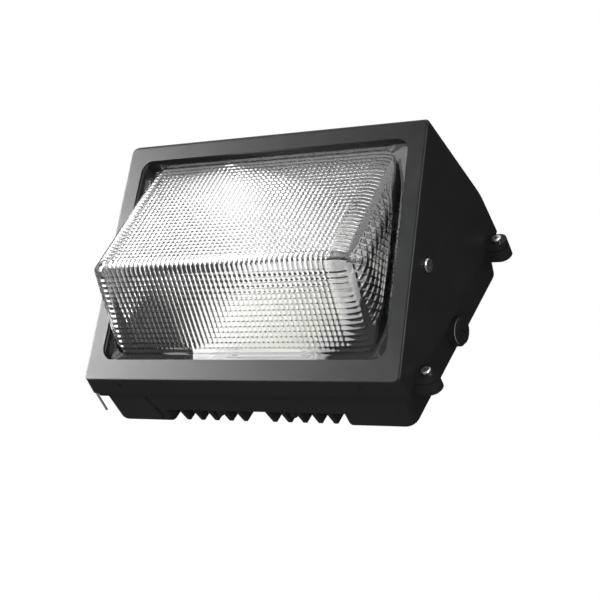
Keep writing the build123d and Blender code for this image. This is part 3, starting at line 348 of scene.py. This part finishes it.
def even_finish(name, colour, roughness, texture=220.0, coat=0.0):
    """Enamel, rubber or plastic: an even colour with a faint mottle and a fine surface texture."""
    material, tree, shader = start_material(name, Base_Color=(*colour, 1), Roughness=roughness)
    shader.inputs["Coat Weight"].default_value = coat
    dark = tuple(c * (1 - TONE_DRIFT) for c in colour)
    tree.links.new(ramp(tree, grain(tree, 25.0), [(0.3, dark), (0.7, colour)]), shader.inputs["Base Color"])
    smooth, rough = (min(1.0, roughness * drift) for drift in GLOSS_DRIFT)
    gloss = ramp(tree, grain(tree, texture / 2), [(0.3, smooth), (0.7, rough)])
    tree.links.new(gloss, shader.inputs["Roughness"])
    bump(tree, shader, grain(tree, texture), TEXTURE_HEIGHT)
    return material


print("an even finish drifts by", round(100 * TONE_DRIFT), "percent in tone")

# %% [markdown]
# ### Pressed glass
# The glass is clear. All that is seen in it is what its ribs bend towards the eye, so it needs a real thickness and
# a plain glass shader, and no trick of colour. Only its shadow is a trick: a shadow ray can't be bent, so it passes
# straight through as if the glass were tinted film. Otherwise the lamps would leave the inside black.


# %% Pressed glass
GLASS_IOR = 1.5


def pressed_glass():
    """Clear glass. Shadow rays pass straight through, so that lamps reach the parts behind it."""
    material, tree, shader = start_material(
        "prismatic_glass", Base_Color=(0.992, 0.993, 0.993, 1), Roughness=0.03, IOR=GLASS_IOR,
        Transmission_Weight=1.0)
    clear = add_node(tree, "ShaderNodeBsdfTransparent", {"Color": (0.95, 0.96, 0.955, 1)}).outputs[0]
    shadow = add_node(tree, "ShaderNodeLightPath").outputs["Is Shadow Ray"]
    both = add_node(tree, "ShaderNodeMixShader", {0: shadow, 1: shader.outputs[0], 2: clear}).outputs[0]
    tree.links.new(both, tree.nodes["Material Output"].inputs["Surface"])
    return material


print("glass bends light by an index of", GLASS_IOR)

# %% [markdown]
# ### One finish for each slot
# Every CAD node names the slot that it takes its finish from. The table has one finish for each of these slots, and
# the loop hands them out, so that no piece is left with the frame's plain grey.

# %% The table of finishes
finishes = {
    "black_coat": powder_coat(),
    "prismatic_glass": pressed_glass(),
    "silicone": even_finish("silicone", (0.16, 0.16, 0.16), 0.5, 300.0),
    "stainless": scratched_metal("stainless", (0.5, 0.5, 0.49), 0.25),
    "plate_aluminium": scratched_metal("plate_aluminium", (0.72, 0.73, 0.74), 0.34, (1, 1, 0.06)),
    "white_enamel": even_finish("white_enamel", (0.86, 0.86, 0.84), 0.3, 90.0, coat=0.3),
    "board_mask": even_finish("board_mask", (0.88, 0.88, 0.86), 0.45, 500.0),
    "phosphor": even_finish("phosphor", (0.93, 0.78, 0.3), 0.3, 800.0),
    "thermal_grey": even_finish("thermal_grey", (0.45, 0.47, 0.5), 0.7),
    "driver_shell": even_finish("driver_shell", (0.8, 0.8, 0.78), 0.5),
    "driver_plate": scratched_metal("driver_plate", (0.66, 0.67, 0.68), 0.38, (0.06, 1, 1)),
    "terminal_nylon": even_finish("terminal_nylon", (0.86, 0.85, 0.8), 0.48, 400.0),
    "terminal_brass": scratched_metal("terminal_brass", (0.78, 0.62, 0.32), 0.25),
    "ground_green": even_finish("ground_green", (0.08, 0.42, 0.17), 0.35, coat=0.4),
    "lead_black": even_finish("lead_black", (0.05, 0.05, 0.05), 0.42),
    "lead_red": even_finish("lead_red", (0.6, 0.06, 0.05), 0.42),
}

for node in nodes.values():
    for place in node.material_slots:
        place.material = finishes[place.material.name.split(".")[0]]
print(len(finishes), "finishes on", len(nodes), "nodes")

# %% [markdown]
# ## The pressed glass lens
# The lens is a wedge of thick glass: a long upper face, a short lower face, a rounded ridge between them and
# rounded corners down to two end faces. Its outside is fluted from top to bottom, and its inside carries ribs
# from side to side. Each crossing of a flute and a rib is a small lens, which is why the real glass sparkles.
#
# It could be a bent plate with a bump for the pattern, but a bump moves no light sideways at the edge and is lost
# in a printed part. It could also be cut out with hundreds of cutters, which takes minutes. Here both skins are
# worked out as grids of points, in millimetres: x across the lens, s down the door's front face and h out of it.

# %% Sizes of the lens
# The front face from top to bottom, as Y and Z.
FACE_TOP = (-194.0, 90.9)
FACE_BOTTOM = (-62.5, -117.5)
# The roof: its feet and its ridge, and how round it is outside and inside.
LENS_TOP_S = 32.9
RIDGE_S = 152.0
RIDGE_H = 59.5
LENS_BOTTOM_S = 216.2
RIDGE_R = 10.0
CREASE_R = 4.0
CORNER_R = 25.0
GLASS = 5.5
FLANGE_FRONT = -4.7
FLANGE_BACK = -9.7
# Half the width at the top, and how much it grows with s and shrinks with h.
HALF_AT_TOP = 148.6
HALF_SPREAD = 0.038
HALF_DRAFT = 0.028

# Flutes outside, then ribs inside, then the tiles of the end faces.
FLUTE_PITCH = 5.3
FLUTES = 47
FLUTE_DEPTH = 0.8
RIB_DEPTH = 0.6
UPPER_RIB = 4.4
LOWER_RIB = 5.4
RIB_SHARE = 0.9
FIRST_RIB = 10.0
ROPE_END = 9.0
END_START = 15.0
END_RIB = 6.3
END_FLUTE = 5.4
END_GROOVE = 0.38
END_DEPTH = 0.6

# Where the relief begins and ends, and over what length it fades.
FLUTE_EDGE = FLUTES * FLUTE_PITCH / 2
EDGE_FADE = 1.5
FOOT_START = -0.5
FOOT_FADE = 2.5
RIB_FADE = 0.3
ROPE_FADE = 2.0
TILE_FADE = 2.0
TILE_FOOT = 2.0

face_run = np.hypot(FACE_BOTTOM[0] - FACE_TOP[0], FACE_BOTTOM[1] - FACE_TOP[1])
down = np.array([0, FACE_BOTTOM[0] - FACE_TOP[0], FACE_BOTTOM[1] - FACE_TOP[1]]) / face_run
out = np.array([0, down[2], -down[1]])


def in_space(x, s, h):
    """Points in metres from x across the lens, s down the front face and h out of it, in millimetres."""
    x, s, h = np.broadcast_arrays(x, s, h)
    points = np.array([0, *FACE_TOP]) + s[..., None] * down + h[..., None] * out
    points[..., 0] = x
    return points * MM


def half_width(s, h):
    """Half width of the lens: that at the top, plus a share of s for the spread, less a share of h for the draft."""
    return HALF_AT_TOP + HALF_SPREAD * s - HALF_DRAFT * h


print("front face", round(float(face_run), 1), "mm long,", FLUTES, "flutes of", FLUTE_PITCH, "mm")

# %% [markdown]
# ### Level curves
# Seen from the side, the roof is two straight slopes joined by an arc. Moved in by a depth, it becomes the same
# figure again, only smaller: the slopes stay parallel and the arc's radius shrinks. These figures are the level
# curves of the lens. Over the flat middle the surface follows the first one, and at the corners and end faces it
# steps from one to the next until the last has shrunk to a point on the flange. Rows that run along every level
# curve in the same proportion therefore meet at the ridge without a seam.

# %% The roof line and its level curves
# The ridge's arc takes at most this share of the height that a level curve has left.
ARC_ROOM = 0.9

up_run = np.array([RIDGE_S - LENS_TOP_S, RIDGE_H])
up_run = up_run / np.hypot(*up_run)
low_run = np.array([LENS_BOTTOM_S - RIDGE_S, -RIDGE_H])
low_run = low_run / np.hypot(*low_run)
up_in = np.array([up_run[1], -up_run[0]])
low_in = np.array([low_run[1], -low_run[0]])
ridge_turn = np.arccos(up_run @ low_run)
half_tan = np.tan(ridge_turn / 2)
mitre = (up_in + low_in) / np.linalg.norm(up_in + low_in) / np.cos(ridge_turn / 2)


def level_curves(depths, floor_h, upper, arc, lower):
    """Points of the level curves at these depths, down to the plane h = floor_h.

    A curve's apex lies its depth down the mitre. The arc's radius is RIDGE_R less the depth, but not under CREASE_R
    nor more than the height left has room for, and the arc meets the slopes at radius * tan(half the ridge's turn)
    from the apex. upper runs from 0 at the foot to 1 at the arc, arc from 0 to 1 round it, and lower from 0 at the
    arc to 1 at the foot. Returns s and h, the distance along the slope from the outer ridge, and the inward normals.
    """
    apex = np.array([RIDGE_S, RIDGE_H]) + depths[:, None] * mitre
    room = ARC_ROOM * np.maximum(apex[:, 1] - floor_h, 0) / max(up_run[1], -low_run[1])
    radius = np.minimum(np.maximum(RIDGE_R - depths, CREASE_R), room / half_tan)
    tangent = radius * half_tan
    above = apex - tangent[:, None] * up_run
    below = apex + tangent[:, None] * low_run
    up_length = (above[:, 1] - floor_h) / up_run[1]
    low_length = (below[:, 1] - floor_h) / -low_run[1]
    start = np.arctan2(up_in[1], up_in[0])
    fan = np.stack([np.cos(start - arc * ridge_turn), np.sin(start - arc * ridge_turn)], 1)
    centre = apex + radius[:, None] * mitre
    up_away = (1 - upper)[:, None] * up_length
    low_away = lower[:, None] * low_length
    points = np.concatenate([
        above - up_away[..., None] * up_run,
        centre - fan[:, None, :] * radius[:, None],
        below + low_away[..., None] * low_run,
    ])
    reach = (radius + depths) * half_tan
    away = np.concatenate([up_away + reach, 0 * arc[:, None] + reach, low_away + reach])
    inward = np.concatenate([np.tile(up_in, (len(upper), 1)), fan, np.tile(low_in, (len(lower), 1))])
    return points, away, inward


def deepest(floor_h):
    """Depth at which the level curve is a point on the plane h = floor_h: the apex's height over the mitre's fall."""
    return (RIDGE_H - floor_h) / -mitre[1]


print("ridge turns", round(float(np.degrees(ridge_turn)), 1), "degrees")

# %% [markdown]
# ### One skin of the lens
# A skin is a grid: its rows run along the level curves and its columns go across the lens, over one corner, along
# the flat and over the other corner. The relief is then a plain function of where a point is, and moves it square
# to the skin. Outside, a flute is an arc that sinks to a groove at each side. Inside, a rib is the same arc raised.
# Round the corners the ribs go on for a short way, which gives the rope seen along the glass's edges, and the end
# faces have square tiles.


# %% One skin of the lens
# About how long the two slopes are, which sets how many rows they get, and how many rows go round the ridge.
UPPER_LENGTH = 133
LOWER_LENGTH = 88
ARC_ROWS = 9
# The flat part's columns never come nearer than this to a corner.
LEAST_GAP = 0.05


def lens_skin(inset, floor_h, flat_x, side_columns, row_step, relief):
    """One skin of the lens: over the roof, round the corners and down both end faces.

    Across the lens, flat_x gives the columns of the flat part. Beyond it the section turns through an arc of radius
    r = CORNER_R - inset, where the depth is inset + r (1 - cos(across / r)), and then runs straight down the end
    face. relief(x, away, across, s, h) is how far a point moves inwards, square to the skin.
    """
    r = CORNER_R - inset
    total = r * pi / 2 + deepest(floor_h) - inset - r
    across = total * np.linspace(0, 1, side_columns + 1)[1:]
    phi = np.minimum(across / r, pi / 2)
    side_depth = inset + r * (1 - np.cos(phi)) + np.maximum(across - r * pi / 2, 0)
    side_x = r * np.sin(phi)
    slope = np.concatenate([phi[::-1], 0 * flat_x, phi])
    depth = np.concatenate([side_depth[::-1], 0 * flat_x + inset, side_depth])
    distance = np.concatenate([across[::-1], 0 * flat_x, across])
    upper = np.linspace(0, 1, round(UPPER_LENGTH / row_step[0]) + 1)[:-1]
    lower = np.linspace(0, 1, round(LOWER_LENGTH / row_step[1]) + 1)[1:]
    points, away, inward = level_curves(depth, floor_h, upper, np.linspace(0, 1, ARC_ROWS), lower)
    s, h = points[..., 0], points[..., 1]
    edge = half_width(s, h) - CORNER_R
    side = np.sign(np.arange(len(depth)) - (len(depth) - 1) / 2)
    flat = slice(side_columns, side_columns + len(flat_x))
    widest = np.max(np.abs(flat_x))
    x = side * (edge + np.concatenate([side_x[::-1], 0 * flat_x, side_x]))
    x[:, flat] = flat_x * np.minimum(1, (edge[:, flat] - LEAST_GAP) / widest)
    move = relief(x, away, distance + 0 * x, s, h)
    s = s + inward[:, None, 0] * move * np.cos(slope)
    h = h + inward[:, None, 1] * move * np.cos(slope)
    x = x - side * np.sin(slope) * move
    return in_space(x, s, h)


# How much of a half circle's width a flute or rib uses: less is flatter, with a blunter groove.
ARC_SHARE = 0.62


def scallop(u, depth):
    """Depth below the crown of an arc at u, which is 0 at the crown and 1 where the arc is depth down.

    The formula is 1 - sqrt(1 - (k u)^2), scaled to depth, with k for the share of a half circle's width.
    """
    fall = 1 - np.sqrt(1 - (ARC_SHARE * np.clip(np.abs(u), 0, 1)) ** 2)
    return depth * fall / (1 - np.sqrt(1 - ARC_SHARE * ARC_SHARE))


def wave(distance, pitch):
    """-1 to 1 over each pitch, with 0 in its middle: twice the fraction of distance / pitch, less 1."""
    phase = distance / pitch
    return 2 * (phase - np.floor(phase)) - 1


def outer_relief(x, away, across, s, h):
    """Flutes: convex arcs side by side over the flat part, which fade to nothing at the flange."""
    between_corners = np.clip((FLUTE_EDGE + EDGE_FADE - np.abs(x)) / EDGE_FADE, 0, 1)
    above_flange = np.clip((h - FOOT_START) / FOOT_FADE, 0, 1)
    return scallop(wave(x + FLUTE_EDGE, FLUTE_PITCH), FLUTE_DEPTH) * (between_corners * above_flange)


def inner_relief(x, away, across, s, h):
    """Ribs from side to side over both slopes, which turn into the corner, and square tiles on the end faces.

    A rib is RIB_DEPTH less the scallop, so its crown is raised. A tile rises at a steady slope from its edges to a
    flat top END_DEPTH high.
    """
    pitch = np.where(s > RIDGE_S + mitre[0] * GLASS, LOWER_RIB, UPPER_RIB)
    first = FIRST_RIB + GLASS * half_tan
    rib = RIB_DEPTH - scallop(wave(away - first + pitch / 2, pitch) / RIB_SHARE, RIB_DEPTH)
    rib = rib * np.clip((away - first + pitch / 2 + RIB_FADE) / RIB_FADE, 0, 1)
    rope = 1 - np.clip((across - ROPE_END) / ROPE_FADE, 0, 1)
    on_end = np.clip((across - END_START) / TILE_FADE, 0, 1) * np.clip((h - TILE_FOOT) / TILE_FADE, 0, 1)
    bars = np.clip((1 - np.abs(wave(s, END_RIB))) / END_GROOVE, 0, 1)
    rungs = np.clip((1 - np.abs(wave(h, END_FLUTE))) / END_GROOVE, 0, 1)
    return rib * rope + END_DEPTH * np.minimum(bars, rungs) * on_end


# How finely each skin is divided: columns to a flute and round a corner, and rows down the slopes.
FLUTE_STEPS = 6
OUTER_CORNER = 22
OUTER_ROW = 3.0
INNER_FLAT = 13
INNER_CORNER = 80
ROWS_PER_RIB = 7

flute_x = np.linspace(-FLUTE_EDGE, FLUTE_EDGE, FLUTES * FLUTE_STEPS + 1)
rib_x = np.linspace(-FLUTE_EDGE, FLUTE_EDGE, INNER_FLAT)
outer = lens_skin(0.0, FLANGE_FRONT, flute_x, OUTER_CORNER, (OUTER_ROW, OUTER_ROW), outer_relief)
inner = lens_skin(GLASS, FLANGE_BACK, rib_x, INNER_CORNER,
                  (UPPER_RIB / ROWS_PER_RIB, LOWER_RIB / ROWS_PER_RIB), inner_relief)
print("outer skin", outer.shape[:2], "inner skin", inner.shape[:2])

# %% [markdown]
# ### The flange
# The real glass ends in a flat flange, which the clamps press on its gasket. The outer skin's foot is pushed
# straight out to the flange's rounded outline, goes round its edge, and comes back to the inner skin's foot on the
# other side. That closes the glass, so that light knows where it is inside. The two feet have different numbers of
# points, so the last ring is zipped: going round both at once, each step makes a triangle with whichever comes next.


# %% Joining the two skins at the flange
def grid_faces(rows, columns, start=0, flip=False):
    """Quads of a grid of rows by columns, numbered row by row from start."""
    i, j = np.meshgrid(np.arange(rows - 1), np.arange(columns - 1), indexing="ij")
    a = (start + i * columns + j).ravel()
    quads = np.stack([a, a + 1, a + columns + 1, a + columns], 1)
    return quads[:, ::-1] if flip else quads


def rim_numbers(shape, start=0):
    """Point numbers once round the foot of a skin: its first row out and its last row back."""
    rows, columns = shape
    last = (rows - 1) * columns
    return start + np.concatenate([np.arange(columns), last + np.arange(columns - 2, 0, -1)])


# The door's window from top to bottom, its half widths there, and how far the flange laps behind its edge.
WINDOW_TOP_S, WINDOW_BOTTOM_S = 19.5, 226.1
WINDOW_TOP_HALF, WINDOW_BOTTOM_HALF = 153.4, 162.0
FLANGE_OVERLAP = 7.0
FLANGE_CORNER = 16.5
# Points round each corner of the outline, and on the dense outline in which reaches are looked up.
CORNER_POINTS = 9
LOOKUP_POINTS = 4000
MIDDLE_S = (WINDOW_TOP_S + WINDOW_BOTTOM_S) / 2


def flange_outline():
    """The flange's rounded trapezoid as x and s.

    A corner's arc has its centre on the corner's bisector, at the radius over the sine of half the corner's angle.
    """
    top, bottom = WINDOW_TOP_S - FLANGE_OVERLAP, WINDOW_BOTTOM_S + FLANGE_OVERLAP
    top_half, bottom_half = WINDOW_TOP_HALF + FLANGE_OVERLAP, WINDOW_BOTTOM_HALF + FLANGE_OVERLAP
    corners = np.array([(-top_half, top), (top_half, top), (bottom_half, bottom), (-bottom_half, bottom)])
    before = np.roll(corners, 1, axis=0) - corners
    after = np.roll(corners, -1, axis=0) - corners
    before /= np.linalg.norm(before, axis=1, keepdims=True)
    after /= np.linalg.norm(after, axis=1, keepdims=True)
    half = np.arccos(np.sum(before * after, axis=1, keepdims=True)) / 2
    inward = (before + after) / np.linalg.norm(before + after, axis=1, keepdims=True)
    centre = corners + inward * FLANGE_CORNER / np.sin(half)
    first = corners + before * FLANGE_CORNER / np.tan(half) - centre
    last = corners + after * FLANGE_CORNER / np.tan(half) - centre
    part = np.linspace(0, 1, CORNER_POINTS)[None, :, None]
    ray = first[:, None] * (1 - part) + last[:, None] * part
    points = centre[:, None] + ray / np.linalg.norm(ray, axis=2, keepdims=True) * FLANGE_CORNER
    return points.reshape(-1, 2)


def direction(x, s):
    """Direction of a point seen from the middle of the window, from 0 to 1 once round."""
    return (np.arctan2(s - MIDDLE_S, x) / (2 * pi)) % 1


def dense(line, count=LOOKUP_POINTS):
    """The closed line resampled at equal steps of its length."""
    closed = np.concatenate([line, line[:1]])
    length = np.concatenate([[0], np.cumsum(np.hypot(*np.diff(closed, axis=0).T))])
    at = np.linspace(0, length[-1], count, endpoint=False)
    return np.stack([np.interp(at, length, closed[:, i]) for i in (0, 1)], 1)


def on_flange(points, h):
    """The points pushed straight out from the window's middle to the flange's outline, at height h.

    A point keeps its direction, and its distance becomes the outline's in that direction.
    """
    rel = points / MM - np.array([0, *FACE_TOP])
    x, s = rel[:, 0], rel @ down
    line = dense(flange_outline())
    turns = direction(line[:, 0], line[:, 1])
    order = np.argsort(turns)
    reach = np.hypot(line[:, 0], line[:, 1] - MIDDLE_S)
    out_to = np.interp(direction(x, s), turns[order], reach[order], period=1)
    now = np.hypot(x, s - MIDDLE_S)
    return in_space(x / now * out_to, MIDDLE_S + (s - MIDDLE_S) / now * out_to, np.full(len(x), h))


def zip_rings(ring_a, ring_b, points):
    """Triangles between two closed rings of point numbers, taken round together by direction.

    All points are put in the order of their directions. A point of one ring makes a triangle with its neighbour on
    that ring and the point that the other ring has reached by then.
    """
    def in_turn(ring):
        rel = points[ring] / MM - np.array([0, *FACE_TOP])
        turns = direction(rel[:, 0], rel @ down)
        order = np.argsort(turns)
        return ring[order], np.append(turns[order][1:], 1 + turns.min())

    a, a_next = in_turn(ring_a)
    b, b_next = in_turn(ring_b)
    from_b = np.repeat([False, True], [len(a), len(b)])
    from_b = from_b[np.lexsort((from_b, np.concatenate([a_next, b_next])))]
    i = np.cumsum(~from_b) - ~from_b
    j = np.cumsum(from_b) - from_b
    with_a = np.stack([a[i % len(a)], a[(i + 1) % len(a)], b[j % len(b)]], 1)
    with_b = np.stack([b[(j + 1) % len(b)], b[j % len(b)], a[i % len(a)]], 1)
    return np.where(from_b[:, None], with_b, with_a)


outer_count = outer.shape[0] * outer.shape[1]
inner_count = inner.shape[0] * inner.shape[1]
outer_rim = rim_numbers(outer.shape[:2])
inner_rim = rim_numbers(inner.shape[:2], outer_count)
skins = np.concatenate([outer.reshape(-1, 3), inner.reshape(-1, 3)])
front_ring = outer_count + inner_count + np.arange(len(outer_rim))
back_ring = front_ring + len(outer_rim)
rings = [on_flange(skins[outer_rim], h) for h in (FLANGE_FRONT, FLANGE_BACK)]
vertices = np.concatenate([skins, *rings])
faces = grid_faces(*outer.shape[:2], flip=True).tolist()
faces += grid_faces(*inner.shape[:2], start=outer_count).tolist()
for near, far in ((outer_rim, front_ring), (front_ring, back_ring)):
    faces += np.stack([np.roll(near, 1), near, far, np.roll(far, 1)], 1).tolist()
faces += zip_rings(back_ring, inner_rim, vertices).tolist()
print(len(vertices), "points and", len(faces), "faces")

# %% [markdown]
# ### From arrays to a piece
# A piece needs more than points and faces. Points that lie on each other are merged, so that the shell is closed,
# and its faces are turned outwards. Smooth shading stops at sharp edges. Last, the piece is set on the body it rides
# on and given the finish of its slot, and the CAD node that it stands for is hidden.

# %% From arrays to a piece
MERGE_DISTANCE = 0.00001
SLIVER = 0.000005
SHARP_DEGREES = 50


def make_piece(name, vertices, faces, body, slot, replaced=()):
    """A closed mesh object with its finish, smooth except over sharp edges, riding on its body."""
    mesh = bpy.data.meshes.new(name)
    mesh.from_pydata(vertices.tolist(), [], faces)
    work = bmesh.new()
    work.from_mesh(mesh)
    bmesh.ops.remove_doubles(work, verts=work.verts, dist=MERGE_DISTANCE)
    bmesh.ops.dissolve_degenerate(work, edges=work.edges, dist=SLIVER)
    bmesh.ops.recalc_face_normals(work, faces=work.faces)
    open_edges = sum(1 for e in work.edges if len(e.link_faces) != 2)
    volume = work.calc_volume(signed=True)
    if volume < 0:
        bmesh.ops.reverse_faces(work, faces=work.faces)
    work.to_mesh(mesh)
    work.free()
    piece = bpy.data.objects.new(name, mesh)
    scene.collection.objects.link(piece)
    mesh.materials.append(finishes[slot])
    mesh.polygons.foreach_set("use_smooth", [True] * len(mesh.polygons))
    mesh.set_sharp_from_angle(angle=radians(SHARP_DEGREES))
    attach(piece, body)
    if replaced:
        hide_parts(*replaced)
    mesh.calc_loop_triangles()
    print(name, len(mesh.loop_triangles), "triangles,", open_edges, "open edges,", round(volume * 1e6, 2), "cm3")


make_piece("pressed_lens", vertices, faces, "door", "prismatic_glass", ("glass_lens",))
